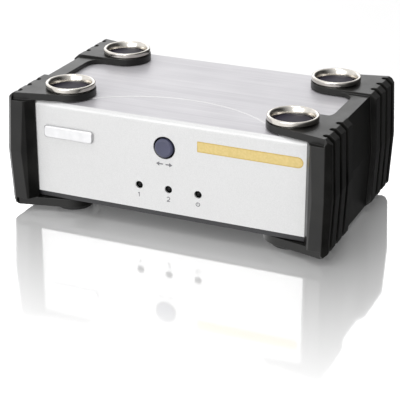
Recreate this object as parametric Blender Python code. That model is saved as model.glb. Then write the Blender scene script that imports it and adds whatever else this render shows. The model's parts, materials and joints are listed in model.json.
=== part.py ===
"""A desktop KVM switch box: a folded metal case held between two plastic end caps.

The front has one push button and three lamps, the back three computer and console
columns. Four metal cups on top take the feet of a second box stacked on this one.
Sizes are in millimetres and turned to metres as each mesh is made. +X is the right
end, +Y the back, +Z up, and the origin is on the floor under the middle of the box.
"""

import math

import bmesh
import bpy
from mathutils import Matrix, Vector

MM = 0.001
GAP = 0.3  # clearance between pieces that touch

# Overall size, over the end caps, the feet and the cup rims
WIDTH = 142.4
DEPTH = 88.0
HEIGHT = 55.0

# End caps
FOOT_DROP = 2.5  # feet stand below the caps
RIM_RISE = 2.5  # cup rims stand above the caps
CAP_BULGE = 1.0  # the outer walls swell this far at mid-height
CAP_EDGE_IN = 2.5  # sloping top and bottom edges of the caps' sides
FRONT_EDGE_IN = 1.5  # and of their front and rear faces
CAP_EDGE_DROP = 2.2
CAP_WALL = 7.2  # outer face at mid-height to the pocket that holds the case
CAP_FRAME = 6.2  # the caps stand this far in front of the front panel
TOP_FLANGE = 2.9
BOTTOM_FLANGE = 3.6
STRIP_DROP = 1.0  # the middle of the upper flange is lower than its two blocks
STRIP_INSET = 0.5
STRIP_WIDE = 6.5
STRIP_FILLET = 6.5
MIDDLE_BULGE = 1.8  # swelling of the sunk middle of a cap's side
FRAME_FACE = 7.2  # flat front face of a cap, from its outer side inwards
FRAME_CHAMFER = (2.0, 1.5)  # narrow slope beside that face: across and back
FRAME_BEVEL_WIDE = 2.7  # wider slope down to the front panel
CORNER_CHAMFER = 2.4
GROOVES = 3  # grip grooves at each end of a cap's side
GROOVE_FIRST = 6.4  # from the cap's front or rear face to the first groove
GROOVE_PITCH = 7.65
GROOVE_WIDE = 2.8
GROOVE_DEEP = 2.2

# Stacking cups and feet
CUP_INSET_X = 22.05  # cup centre from the cap's outermost face
CUP_INSET_Y = 17.85
RING_R = 10.35
RING_WALL = 1.3
RING_SKIRT_IN = 1.4  # the skirt below the shoulder is this much smaller
RING_TAPER = 0.9
CUP_DEEP = 2.4
CUP_FLOOR_THICK = 1.4
RING_LEDGE = 0.95
RING_EDGE = 0.25  # bevel round the rim
LOBE_MARGIN = 0.3
FOOT_CLEAR = 0.45  # a foot is this much smaller than the cup that takes it
FOOT_STEM_R = 2.3
FOOT_STEM_UP = 2.1  # stem end above the tray's floor
FOOT_EDGE = 0.5

# Sheet metal case
SHEET = 1.0
BEND_R = 2.5
PANEL_FOOT_GAP = 2.9  # front panel's lower edge above the bottom flange
FLAP_THICK = 0.8
FLAP_DEEP = 13.0
FLAP_SHORT = 8.0  # side flaps end this far from the case's front and back
TRAY_LIP = 7.0
STEP_R = 59.5  # curved step pressed into the cover
STEP_APEX_Y = -12.0
STEP_DEEP = 0.3
STEP_SLOPE = 0.35

# Front controls
BUTTON_X = -1.0
BUTTON_BELOW_TOP = 12.3
BUTTON_R = 3.95
BUTTON_PROUD = 1.0
BUTTON_CLEAR = 0.8
BUTTON_FLANGE = 0.75
BUTTON_FLANGE_THICK = 1.0
BUTTON_STEM_R = 1.5
BUTTON_STEM = 1.2
BUTTON_BEVEL = 0.5
BUTTON_TRAVEL = 0.5
LED_X = (-12.4, 0.7, 13.8)
LED_ABOVE_EDGE = 10.2
LED_R = 1.4
LED_CLEAR = 0.2
LED_LONG = 4.2
LED_SUNK = 0.3
LED_LEAD = 0.5
LED_LEAD_PITCH = 2.0
LED_FLANGE = (0.4, 0.6)  # collar at the base: proud of the body, thick
BADGE = (22.5, 5.0, 0.9)  # wide, tall, thick
BADGE_X = -44.25
BADGE_BELOW_TOP = 12.8
BADGE_CORNER = 1.2
BADGE_EDGE = 0.3

# Push switch and the boards
SWITCH = 6.0
SWITCH_TALL = 3.5
PLUNGER_R = 1.7
PLUNGER_OUT = 0.7
PLUNGER_IN = 1.0
BOARD = 1.6
FRONT_BOARD_WIDE = 48.0
FRONT_BOARD_TOP = 4.0  # below the cover's underside
FRONT_BOARD_LIFT = 1.8  # above the main board
BOSS_R = 3.0
BOSS_UP = 2.4
BOARD_SIDE = 6.0  # board edge in from the tray's walls
MAIN_BOARD_FRONT = 3.5  # board edge behind the tray's front lip
BOARD_REAR = 1.8
BOARD_LEVELS = 17.5  # main board to port board
PORT_BOARD_DEEP = 24.0
SCREW_IN = 5.5  # board screws in from the main board's side edges
SCREW_Y = (16.0, 38.0)  # and back from its front edge
SCREW_HEAD_R = 2.6
SCREW_HEAD = 1.7
SCREW_R = 1.0
SCREW_SLOT = (0.8, 0.7)  # wide, deep
SCREW_EDGE = 0.5
COVER_SCREW_Y = 10.0
COVER_SCREW_BELOW = 8.3
COVER_SCREW_R = 1.35
COVER_SCREW_LONG = 4.5
SPACER_IN = 4.0  # spacers behind the port board's front edge
SPACER_R = 2.5
SPACER_TIP_R = 1.3
SPACER_TIP = 1.2
HOLE_CLEAR = 0.3
HEADER = (32.0, 5.0)  # wide, deep
HEADER_IN = 1.5  # behind the port board's front edge
FRONT_HEADER = (20.0, 5.0, 8.0)  # wide, deep, tall
CONTROLLER_CHIP = (14.0, 14.0, 1.4, -25.0, -6.0)  # wide, deep, tall, and its place in X and Y
SWITCH_CHIP = (10.0, 7.5, 2.0, 22.0, -6.0)
CHIP_BEVEL = 0.3

# Rear connectors, in three columns: two consoles and one computer
COLUMN_PITCH = 37.0
DSUB_FLANGE = (30.8, 12.5, 0.8)  # wide, tall, thick
DSUB_SHELL = (16.9, 8.4)  # wide, tall
DSUB_CORNER = 2.0
DSUB_SLANT = math.radians(10)
DSUB_OUT = 5.4
DSUB_WALL = 0.5
DSUB_HOUSING = (19.0, 11.0, 11.4)  # wide, tall, deep
DSUB_ABOVE_BOARD = 6.7
DSUB_RECESS = 0.4
JACK_PITCH = 24.99
JACK_FLATS = 4.8
JACK_LONG = 4.3
JACK_STUD_R = 1.2
JACK_BORE = (0.9, 3.0)  # radius, deep
JACK_STUD_PAST = 1.0  # stud end behind the connector's flange
DIN_PITCH = 15.5
DIN_BODY = (14.0, 13.0, 12.7)  # wide, tall, deep
DIN_NOSE_R = 5.8
DIN_NOSE_OUT = 0.6
DIN_GROOVE = (3.7, 4.7, 5.0)  # inner and outer radius, deep
POWER_BODY = (9.0, 11.0, 13.0)
POWER_NOSE_R = 4.2
POWER_NOSE_OUT = 0.8
POWER_GROOVE = (1.05, 3.15, 9.0)
ROOT = 1.0  # a body joined to another starts this far inside it

ROUND_STEPS = 24
FINE_STEPS = 48
SMALL_STEPS = 12
ARC_STEPS = 7
HEXAGON = 6
CORNER_STEPS = 4
D_STEPS = 3
GROOVE_STEPS = 6
DOME_STEPS = 5
STEP_STEPS = 96
OVER = 2.0  # cutters run past the faces they cut
SMOOTH = math.radians(18)

# Places worked out from the sizes above
CAP_X = WIDTH / 2
CAP_Y = DEPTH / 2
CAP_LOW = FOOT_DROP
CAP_TOP = HEIGHT - RIM_RISE
MID_Z = (CAP_LOW + CAP_TOP) / 2
TOP_X = CAP_X - CAP_BULGE - CAP_EDGE_IN
TOP_Y = CAP_Y - CAP_BULGE - FRONT_EDGE_IN
POCKET_X = CAP_X - CAP_WALL
POCKET_LOW = CAP_LOW + BOTTOM_FLANGE
POCKET_TOP = CAP_TOP - TOP_FLANGE
CUP_X = CAP_X - CUP_INSET_X
CUP_Y = CAP_Y - CUP_INSET_Y
LOBE_R = RING_R + LOBE_MARGIN
STRIP_OUT_X = TOP_X - STRIP_INSET
STRIP_IN_X = STRIP_OUT_X - STRIP_WIDE
BLOCK_IN_Y = CUP_Y - LOBE_R
FACE_IN_X = CAP_X - FRAME_FACE
BEVEL_TOP_X = FACE_IN_X - FRAME_CHAMFER[0]
FRAME_IN_X = BEVEL_TOP_X - FRAME_BEVEL_WIDE

CASE_X = POCKET_X - GAP
PANEL_Y = CAP_Y - CAP_FRAME  # front panel outside at -PANEL_Y, rear panel at +PANEL_Y
COVER_TOP = POCKET_TOP - GAP
COVER_UNDER = COVER_TOP - SHEET
PANEL_BACK = -PANEL_Y + SHEET
PANEL_EDGE = POCKET_LOW + PANEL_FOOT_GAP
TRAY_LOW = POCKET_LOW + GAP
TRAY_FLOOR = TRAY_LOW + SHEET
TRAY_X = CASE_X - FLAP_THICK - GAP
TRAY_IN_X = TRAY_X - SHEET
TRAY_FRONT = PANEL_BACK + GAP
TRAY_TOP = COVER_UNDER - GAP
REAR_FACE = PANEL_Y
REAR_BACK = REAR_FACE - SHEET

BUTTON_Z = COVER_TOP - BUTTON_BELOW_TOP
BUTTON_HOLE_R = BUTTON_R + BUTTON_CLEAR
LED_Z = PANEL_EDGE + LED_ABOVE_EDGE
LED_HOLE_R = LED_R + LED_CLEAR
BUTTON_FRONT = -PANEL_Y - BUTTON_PROUD
BUTTON_FLANGE_BACK = PANEL_BACK + GAP + BUTTON_FLANGE_THICK
STEM_END = BUTTON_FLANGE_BACK + BUTTON_STEM
PLUNGER_FRONT = STEM_END + GAP
SWITCH_FRONT = PLUNGER_FRONT + PLUNGER_OUT
FRONT_BOARD_Y = SWITCH_FRONT + SWITCH_TALL + GAP
PLUNGER_END = SWITCH_FRONT + PLUNGER_IN
PLUNGER_BORE_END = PLUNGER_END + BUTTON_TRAVEL + GAP

BOSS_TOP = TRAY_FLOOR + BOSS_UP
MAIN_LOW = BOSS_TOP + GAP
MAIN_TOP = MAIN_LOW + BOARD
MAIN_X = TRAY_IN_X - BOARD_SIDE
MAIN_Y = (TRAY_FRONT + SHEET + MAIN_BOARD_FRONT, REAR_BACK - BOARD_REAR)
PORT_LOW = MAIN_TOP + BOARD_LEVELS - BOARD
PORT_TOP = PORT_LOW + BOARD
PORT_Y = (MAIN_Y[1] - PORT_BOARD_DEEP, MAIN_Y[1])
SCREW_X = MAIN_X - SCREW_IN
SCREW_HOLE_R = SCREW_R + HOLE_CLEAR
SPACER_XY = (SCREW_X, PORT_Y[0] + SPACER_IN)
COVER_SCREW_Z = COVER_TOP - COVER_SCREW_BELOW
COLUMNS = (-COLUMN_PITCH, 0.0, COLUMN_PITCH)
DSUB_Z = MAIN_TOP + DSUB_ABOVE_BOARD
DIN_Z = PORT_TOP + GAP + DIN_BODY[1] / 2
POWER_Z = PORT_TOP + GAP + POWER_BODY[1] / 2
DIN_X = [column + side * DIN_PITCH / 2 for column in COLUMNS[:2] for side in (-1, 1)]
JACK_X = [column + side * JACK_PITCH / 2 for column in COLUMNS for side in (-1, 1)]
COLUMN_NAMES = ("console_1", "console_2", "computer")
CORNERS = [
    ("front_left", -1, -1),
    ("front_right", 1, -1),
    ("rear_left", -1, 1),
    ("rear_right", 1, 1),
]


# Outlines

def arc(centre, radius, start, end, steps):
    """Points on an arc, both ends included, with the angles in degrees."""
    turn = [math.radians(start + (end - start) * i / steps) for i in range(steps + 1)]
    return [(centre[0] + radius * math.cos(a), centre[1] + radius * math.sin(a)) for a in turn]


def rectangle(low_u, high_u, low_v, high_v):
    return [(low_u, low_v), (high_u, low_v), (high_u, high_v), (low_u, high_v)]


def rounded(wide, tall, radius, centre=(0.0, 0.0)):
    u, v = wide / 2 - radius, tall / 2 - radius
    places = ((u, v, 0), (-u, v, 90), (-u, -v, 180), (u, -v, 270))
    return [
        point
        for du, dv, start in places
        for point in arc((centre[0] + du, centre[1] + dv), radius, start, start + 90, CORNER_STEPS)
    ]


def d_outline(centre, grow=0.0):
    """The D shape of a D-sub shell, wide side up, its corners rounded."""
    half_u, half_v = DSUB_SHELL[0] / 2 + grow, DSUB_SHELL[1] / 2 + grow
    radius = DSUB_CORNER + grow
    lean = math.tan(DSUB_SLANT) * (half_v - radius)
    tilt = math.degrees(DSUB_SLANT)
    u_top, u_low, v = half_u - radius, half_u - radius - 2 * lean, half_v - radius
    places = (
        (u_top, v, -tilt, 90),
        (-u_top, v, 90, 180 + tilt),
        (-u_low, -v, 180 + tilt, 270),
        (u_low, -v, 270, 360 - tilt),
    )
    return [
        point
        for du, dv, start, end in places
        for point in arc((centre[0] + du, centre[1] + dv), radius, start, end, D_STEPS)
    ]


def front_tangent():
    """Angle on a front lobe, in degrees, where the flange's front edge touches it."""
    across, back = TOP_X - CUP_X, CUP_Y - TOP_Y
    towards = math.atan2(back, across)
    return math.degrees(towards - math.acos(LOBE_R / math.hypot(across, back)))


def flange_outline():
    """Plan of a cap's flange: two blocks that end in lobes, joined by a narrow strip."""
    front = [(TOP_X, -TOP_Y)]
    front += arc((CUP_X, -CUP_Y), LOBE_R, front_tangent(), -270, 3 * ARC_STEPS)
    fillet = (STRIP_IN_X - STRIP_FILLET, STRIP_FILLET - BLOCK_IN_Y)
    front += arc(fillet, STRIP_FILLET, -90, 0, ARC_STEPS)
    return front + [(x, -y) for x, y in reversed(front)]


def side_profile():
    """A cap's outer side in XZ, swelling to its crease at mid-height."""
    slope_low, slope_top = CAP_LOW + CAP_EDGE_DROP, CAP_TOP - CAP_EDGE_DROP
    wall = CAP_X - CAP_BULGE
    return [(TOP_X, CAP_LOW), (wall, slope_low), (CAP_X, MID_Z), (wall, slope_top), (TOP_X, CAP_TOP)]


def front_profile():
    """The same swelling of the front and rear faces, in YZ."""
    slope_low, slope_top = CAP_LOW + CAP_EDGE_DROP, CAP_TOP - CAP_EDGE_DROP
    wall = CAP_Y - CAP_BULGE
    front = [(-TOP_Y, CAP_TOP), (-wall, slope_top), (-CAP_Y, MID_Z)]
    front += [(-wall, slope_low), (-TOP_Y, CAP_LOW)]
    return front + [(-y, z) for y, z in reversed(front)]


# Solids

PLANES = {
    "x": lambda u, v, w: (w, u, v),
    "y": lambda u, v, w: (u, w, v),
    "z": lambda u, v, w: (u, v, w),
}


def face_outwards(mesh):
    bmesh.ops.recalc_face_normals(mesh, faces=mesh.faces)
    if mesh.calc_volume(signed=True) < 0:
        bmesh.ops.reverse_faces(mesh, faces=mesh.faces)
    return mesh


def add_loft(mesh, sections):
    """A closed body through rings of points that all have the same count."""
    rings = [[mesh.verts.new(point) for point in section] for section in sections]
    count = len(rings[0])
    for lower, upper in zip(rings, rings[1:]):
        for i in range(count):
            j = (i + 1) % count
            mesh.faces.new((lower[i], lower[j], upper[j], upper[i]))
    mesh.faces.new(rings[0])
    mesh.faces.new(rings[-1])
    return mesh


def prism(outline, low, high, axis, mesh=None):
    """An outline extruded along an axis. For "x" it is in YZ, for "y" in XZ, for "z" in XY."""
    place = PLANES[axis]
    sections = [[place(u, v, w) for u, v in outline] for w in (low, high)]
    return add_loft(mesh or bmesh.new(), sections)


def box(x, y, z, mesh=None):
    return prism(rectangle(*x, *y), z[0], z[1], "z", mesh)


def cylinder(radius, low, high, axis, centre, steps=SMALL_STEPS, mesh=None):
    outline = arc(centre, radius, 0, 360, steps)[:-1]
    return prism(outline, low, high, axis, mesh)


def turned(profile, axis="z", centre=(0.0, 0.0), steps=ROUND_STEPS, mesh=None):
    """A profile of (radius, height) turned about an axis; on-axis ends close to a point."""
    mesh = mesh or bmesh.new()
    place = PLANES[axis]
    rings = []
    for radius, height in profile:
        count = steps if radius else 1
        angles = [2 * math.pi * i / steps for i in range(count)]
        u = [centre[0] + radius * math.cos(a) for a in angles]
        v = [centre[1] + radius * math.sin(a) for a in angles]
        rings.append([mesh.verts.new(place(a, b, height)) for a, b in zip(u, v)])
    closed_loop = all(radius for radius, _ in profile)
    following = rings[1:] + rings[:1] if closed_loop else rings[1:]
    for lower, upper in zip(rings, following):
        for i in range(steps):
            j = (i + 1) % steps
            corners = [lower[i % len(lower)], lower[j % len(lower)]]
            corners += [upper[j % len(upper)], upper[i % len(upper)]]
            mesh.faces.new(list(dict.fromkeys(corners)))
    return mesh


# Objects

def material(name, colour, roughness, metallic=0.0):
    made = bpy.data.materials.new(name)
    made.use_nodes = True
    shader = made.node_tree.nodes["Principled BSDF"]
    shader.inputs["Base Color"].default_value = (*colour, 1.0)
    shader.inputs["Roughness"].default_value = roughness
    shader.inputs["Metallic"].default_value = metallic
    return made


def mesh_data(name, mesh, origin=(0.0, 0.0, 0.0), side=1):
    """Mesh data in metres about an origin, mirrored in X for the left end of the box."""
    mesh.transform(Matrix.Diagonal((side, 1.0, 1.0, 1.0)))
    mesh.transform(Matrix.Translation(-Vector(origin)))
    mesh.transform(Matrix.Scale(MM, 4))
    face_outwards(mesh)
    data = bpy.data.meshes.new(name)
    mesh.to_mesh(data)
    mesh.free()
    data.shade_smooth()
    data.set_sharp_from_angle(angle=SMOOTH)
    return data


def place(name, data, origin=(0.0, 0.0, 0.0)):
    made = bpy.data.objects.new(name, data)
    made.location = Vector(origin) * MM
    bpy.context.scene.collection.objects.link(made)
    return made


def piece(name, mesh, finish, origin=(0.0, 0.0, 0.0), side=1):
    data = mesh_data(name, mesh, origin, side)
    data.materials.append(finish)
    return place(name, data, origin)


def combine(target, mesh, operation="DIFFERENCE", side=1):
    """A Boolean between a piece and a hidden helper body."""
    name = f"{target.name}_{operation.lower()}_{len(target.modifiers)}"
    helper = place(name, mesh_data(name, mesh, side=side))
    helper.hide_render = True
    helper.display_type = "WIRE"
    modifier = target.modifiers.new(name, "BOOLEAN")
    modifier.operation = operation
    modifier.solver = "EXACT"
    modifier.object = helper
    return target


def clear_scene():
    for old in list(bpy.data.objects):
        bpy.data.objects.remove(old, do_unlink=True)


def make_finishes():
    return {
        "silver": material("silver_paint", (0.76, 0.76, 0.77), 0.38, 0.35),
        "tray": material("dark_paint", (0.03, 0.03, 0.032), 0.55, 0.2),
        "cap": material("black_plastic", (0.035, 0.035, 0.038), 0.42),
        "chrome": material("satin_chrome", (0.72, 0.71, 0.68), 0.2, 1.0),
        "floor": material("dark_gloss", (0.09, 0.085, 0.11), 0.15),
        "rubber": material("rubber", (0.02, 0.02, 0.02), 0.8),
        "button": material("blue_grey_plastic", (0.12, 0.12, 0.19), 0.4),
        "switch": material("black_nylon", (0.02, 0.02, 0.02), 0.5),
        "board": material("green_board", (0.02, 0.16, 0.07), 0.45),
        "led": material("smoked_lens", (0.02, 0.02, 0.02), 0.1),
        "steel": material("plated_steel", (0.6, 0.6, 0.62), 0.3, 1.0),
        "insert": material("blue_plastic", (0.03, 0.08, 0.35), 0.45),
        "keyboard": material("purple_plastic", (0.25, 0.12, 0.4), 0.45),
        "mouse": material("green_plastic", (0.08, 0.45, 0.2), 0.45),
        "nylon": material("white_nylon", (0.8, 0.8, 0.76), 0.5),
        "badge": material("badge_metal", (0.88, 0.88, 0.88), 0.3, 0.6),
    }


# End caps

def flange_level_cutter():
    """Clears the block above and below the pocket back to the flanges' slanting edges."""
    angle = math.radians(front_tangent())
    touch = (CUP_X + LOBE_R * math.cos(angle), LOBE_R * math.sin(angle) - CUP_Y)
    slant = (touch[1] + TOP_Y) / (TOP_X - touch[0])
    meet_y = -TOP_Y + slant * (TOP_X - POCKET_X)
    inner_x, outer_y = FRAME_IN_X - OVER, CAP_Y + OVER
    front = [(TOP_X, -outer_y), (TOP_X, -TOP_Y), (POCKET_X, meet_y)]
    outline = [(inner_x, -outer_y)] + front
    outline += [(x, -y) for x, y in reversed(outline)]
    mesh = prism(outline, POCKET_TOP, CAP_TOP + OVER, "z")
    return prism(outline, CAP_LOW - OVER, POCKET_LOW, "z", mesh)


def frame_cutter():
    """Slopes from the front and rear faces of a cap down to the case's panels."""
    across, back = FRAME_CHAMFER
    line = [
        (FRAME_IN_X, -PANEL_Y - GAP / 2),
        (BEVEL_TOP_X, -CAP_Y + back),
        (FACE_IN_X, -CAP_Y),
        (FACE_IN_X + OVER * across / back, -CAP_Y - OVER),
        (FRAME_IN_X - OVER, -CAP_Y - OVER),
        (FRAME_IN_X - OVER, -PANEL_Y - GAP / 2),
    ]
    mesh = prism(line, POCKET_LOW, POCKET_TOP, "z")
    return prism([(x, -y) for x, y in line], POCKET_LOW, POCKET_TOP, "z", mesh)


def corner_cutter():
    """Upright chamfers on a cap's two outer corners."""
    cut = CORNER_CHAMFER
    mesh = bmesh.new()
    for end in (-1, 1):
        sections = []
        for z, swell in ((CAP_LOW - OVER, 0), (MID_Z, CAP_BULGE), (CAP_TOP + OVER, 0)):
            x, y = CAP_X - CAP_BULGE + swell, CAP_Y - CAP_BULGE + swell
            ring = [(x - cut, y), (x - cut, y + OVER), (x + OVER, y + OVER), (x + OVER, y - cut)]
            ring += [(x, y - cut)]
            sections.append([(u, end * v, z) for u, v in ring])
        add_loft(mesh, sections)
    return mesh


def groove_places():
    for end in (-1, 1):
        for i in range(GROOVES):
            yield end * (CAP_Y - GROOVE_FIRST - i * GROOVE_PITCH)


def groove_cutter():
    """Round-ended grooves that run down a cap's side and follow its swelling."""
    mesh = bmesh.new()
    radius = GROOVE_WIDE / 2
    for y in groove_places():
        sections = []
        for z, swell in ((CAP_LOW - OVER, 0), (MID_Z, CAP_BULGE), (CAP_TOP + OVER, 0)):
            end_x = TOP_X - GROOVE_DEEP + swell
            ring = arc((end_x + radius, y), radius, 90, 270, GROOVE_STEPS)
            ring += [(CAP_X + OVER, y - radius), (CAP_X + OVER, y + radius)]
            sections.append([(u, v, z) for u, v in ring])
        add_loft(mesh, sections)
    return mesh


def middle_cutter():
    """Sinks the middle of a cap's side, which swells less than the ribs."""
    inner = [(TOP_X, CAP_LOW - OVER), (TOP_X, CAP_LOW), (STRIP_OUT_X + MIDDLE_BULGE, MID_Z)]
    inner += [(STRIP_OUT_X, CAP_TOP), (STRIP_OUT_X, CAP_TOP + OVER)]
    outline = inner + [(CAP_X + OVER, CAP_TOP + OVER), (CAP_X + OVER, CAP_LOW - OVER)]
    return prism(outline, -BLOCK_IN_Y, BLOCK_IN_Y, "y")


def strip_cutter():
    """Lowers the strip between the blocks of the upper flange."""
    x, y = (STRIP_IN_X - STRIP_FILLET, CAP_X + OVER), (-BLOCK_IN_Y, BLOCK_IN_Y)
    return box(x, y, (CAP_TOP - STRIP_DROP, CAP_TOP + OVER))


def bore_cutter():
    """Bores for the cups and the foot stems, and pockets over the cover screws."""
    mesh = bmesh.new()
    for end in (-1, 1):
        centre = (CUP_X, end * CUP_Y)
        cup_bore = RING_R - RING_SKIRT_IN + GAP
        cylinder(cup_bore, POCKET_TOP - GAP, CAP_TOP + OVER, "z", centre, ROUND_STEPS, mesh)
        cylinder(FOOT_STEM_R + GAP, 0.0, POCKET_LOW + GAP, "z", centre, ROUND_STEPS, mesh)
        screw = (end * COVER_SCREW_Y, COVER_SCREW_Z)
        deep = POCKET_X + SCREW_HEAD + 2 * GAP
        cylinder(SCREW_HEAD_R + 2 * GAP, POCKET_X - GAP, deep, "x", screw, mesh=mesh)
    return mesh


def make_end_cap(name, side, finish):
    inner_x = FRAME_IN_X
    outline = [(inner_x, CAP_LOW)] + side_profile() + [(inner_x, CAP_TOP)]
    cap = piece(name, prism(outline, -CAP_Y, CAP_Y, "y"), finish, side=side)
    swelling = prism(front_profile(), inner_x - OVER, CAP_X + OVER, "x")
    combine(cap, swelling, "INTERSECT", side)
    combine(cap, flange_level_cutter(), side=side)
    flanges = prism(flange_outline(), POCKET_TOP, CAP_TOP, "z")
    prism(flange_outline(), CAP_LOW, POCKET_LOW, "z", flanges)
    combine(cap, flanges, "UNION", side)
    pocket_y = PANEL_Y + GAP
    pocket = box((0.0, POCKET_X), (-pocket_y, pocket_y), (POCKET_LOW, POCKET_TOP))
    combine(cap, pocket, side=side)
    cutters = (
        frame_cutter, corner_cutter, groove_cutter, middle_cutter, strip_cutter, bore_cutter
    )
    for cutter in cutters:
        combine(cap, cutter(), side=side)


# Stacking cups and feet

def ring_profile():
    rim, shoulder, foot = HEIGHT, CAP_TOP + GAP, POCKET_TOP + GAP
    inner, skirt = RING_R - RING_WALL, RING_R - RING_SKIRT_IN
    wall = inner - RING_TAPER
    ledge_top = HEIGHT - CUP_DEEP - CUP_FLOOR_THICK - GAP
    return [
        (inner + RING_EDGE, rim),
        (RING_R - RING_EDGE, rim),
        (RING_R, rim - RING_EDGE),
        (RING_R, shoulder),
        (skirt, shoulder),
        (skirt, foot),
        (wall - RING_LEDGE, foot),
        (wall - RING_LEDGE, ledge_top),
        (wall, ledge_top),
        (wall, rim - CUP_DEEP),
        (inner, rim - RING_EDGE),
    ]


def floor_profile():
    radius = RING_R - RING_WALL - RING_TAPER - GAP
    top = HEIGHT - CUP_DEEP
    return [(0, top), (radius, top), (radius, top - CUP_FLOOR_THICK), (0, top - CUP_FLOOR_THICK)]


def foot_profile():
    radius = RING_R - RING_WALL - RING_TAPER - FOOT_CLEAR
    edge, pad_top = FOOT_EDGE, CAP_LOW - GAP
    stem_top = TRAY_FLOOR + FOOT_STEM_UP
    return [
        (0, 0),
        (radius - edge, 0),
        (radius, edge),
        (radius, pad_top),
        (FOOT_STEM_R, pad_top),
        (FOOT_STEM_R, stem_top - edge),
        (FOOT_STEM_R - edge, stem_top),
        (0, stem_top),
    ]


def make_corners(finishes):
    kinds = (
        ("stacking_ring", ring_profile, "chrome"),
        ("cup_floor", floor_profile, "floor"),
        ("foot", foot_profile, "rubber"),
    )
    for name, profile, finish in kinds:
        data = mesh_data(name, turned(profile()))
        data.materials.append(finishes[finish])
        for corner, across, back in CORNERS:
            place(f"{name}_{corner}", data, (across * CUP_X, back * CUP_Y, 0.0))


# Sheet metal case

def cover_profile():
    outer = arc((-PANEL_Y + BEND_R, COVER_TOP - BEND_R), BEND_R, 90, 180, ARC_STEPS)
    inner_r = BEND_R - SHEET
    inner = arc((-PANEL_Y + BEND_R, COVER_TOP - BEND_R), inner_r, 180, 90, ARC_STEPS)
    edge = [(-PANEL_Y, PANEL_EDGE), (PANEL_BACK, PANEL_EDGE)]
    return [(REAR_FACE, COVER_TOP)] + outer + edge + inner + [(REAR_FACE, COVER_UNDER)]


def cover_screw_holes(low, high):
    mesh = bmesh.new()
    for end in (-1, 1):
        centre = (end * COVER_SCREW_Y, COVER_SCREW_Z)
        radius = COVER_SCREW_R + HOLE_CLEAR
        cylinder(radius, low, high, "x", centre, mesh=mesh)
        cylinder(radius, -high, -low, "x", centre, mesh=mesh)
    return mesh


def cover_flaps():
    """Flaps folded down from the cover's two ends."""
    mesh = bmesh.new()
    along = (-PANEL_Y + FLAP_SHORT, PANEL_Y - FLAP_SHORT)
    deep = (COVER_TOP - FLAP_DEEP, COVER_TOP - SHEET / 2)
    box((CASE_X - FLAP_THICK, CASE_X), along, deep, mesh)
    return box((-CASE_X, FLAP_THICK - CASE_X), along, deep, mesh)


def step_cutter():
    """Lowers the front of the cover's top inside a large arc, with a sloping edge."""
    top, low = COVER_TOP + OVER, COVER_TOP - STEP_DEEP
    slope = STEP_SLOPE / STEP_DEEP * OVER
    profile = [(0, top), (STEP_R + slope, top), (STEP_R - STEP_SLOPE, low), (0, low)]
    return turned(profile, centre=(0.0, STEP_APEX_Y - STEP_R), steps=STEP_STEPS)


def panel_holes():
    """Holes in the front panel for the button and the lamps."""
    low, high = -PANEL_Y - OVER, PANEL_BACK + OVER
    mesh = cylinder(BUTTON_HOLE_R, low, high, "y", (BUTTON_X, BUTTON_Z), FINE_STEPS)
    for x in LED_X:
        cylinder(LED_HOLE_R, low, high, "y", (x, LED_Z), ROUND_STEPS, mesh)
    return mesh


def make_cover(finish):
    cover = piece("top_cover", prism(cover_profile(), -CASE_X, CASE_X, "x"), finish)
    combine(cover, cover_flaps(), "UNION")
    combine(cover, step_cutter())
    combine(cover, panel_holes())
    combine(cover, cover_screw_holes(CASE_X - 2 * FLAP_THICK, CASE_X + OVER))


def rear_openings():
    """Openings in the rear panel for the connectors and their jack nuts."""
    low, high = REAR_BACK - OVER, REAR_FACE + OVER
    mesh = bmesh.new()
    for column in COLUMNS:
        prism(d_outline((column, DSUB_Z), HOLE_CLEAR), low, high, "y", mesh)
    for x in JACK_X:
        cylinder(JACK_STUD_R + HOLE_CLEAR, low, high, "y", (x, DSUB_Z), mesh=mesh)
    for x in DIN_X:
        cylinder(DIN_NOSE_R + HOLE_CLEAR, low, high, "y", (x, DIN_Z), ROUND_STEPS, mesh)
    power = (COLUMNS[2], POWER_Z)
    cylinder(POWER_NOSE_R + HOLE_CLEAR, low, high, "y", power, ROUND_STEPS, mesh)
    return mesh


def board_screw_places():
    for side in (-1, 1):
        for back in SCREW_Y:
            yield side * SCREW_X, MAIN_Y[0] + back


def tray_bosses():
    mesh = bmesh.new()
    for centre in board_screw_places():
        cylinder(BOSS_R, TRAY_FLOOR - SHEET / 2, BOSS_TOP, "z", centre, mesh=mesh)
    return mesh


def tray_holes():
    """Bores in the bosses, and holes in the floor for the foot stems."""
    mesh = bmesh.new()
    for centre in board_screw_places():
        cylinder(SCREW_HOLE_R, TRAY_FLOOR, BOSS_TOP + OVER, "z", centre, mesh=mesh)
    for _, across, back in CORNERS:
        centre = (across * CUP_X, back * CUP_Y)
        radius, low, high = FOOT_STEM_R + GAP, TRAY_LOW - OVER, TRAY_FLOOR + OVER
        cylinder(radius, low, high, "z", centre, ROUND_STEPS, mesh)
    return mesh


def make_tray(finish):
    """Floor, two sides and the rear panel, with a low lip behind the front panel."""
    shell = box((-TRAY_X, TRAY_X), (TRAY_FRONT, REAR_FACE), (TRAY_LOW, TRAY_TOP))
    tray = piece("base_tray", shell, finish)
    inside = (TRAY_FRONT + SHEET, REAR_BACK)
    hollow = box((-TRAY_IN_X, TRAY_IN_X), inside, (TRAY_FLOOR, TRAY_TOP + OVER))
    combine(tray, hollow)
    front = (TRAY_FRONT - OVER, TRAY_FRONT + 2 * SHEET)
    side_x = TRAY_X + OVER
    combine(tray, box((-side_x, side_x), front, (TRAY_FLOOR + TRAY_LIP, TRAY_TOP + OVER)))
    combine(tray, tray_bosses(), "UNION")
    combine(tray, tray_holes())
    combine(tray, rear_openings())
    combine(tray, cover_screw_holes(TRAY_IN_X - OVER, TRAY_X + FLAP_THICK))


# Screws, spacers and boards

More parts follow.
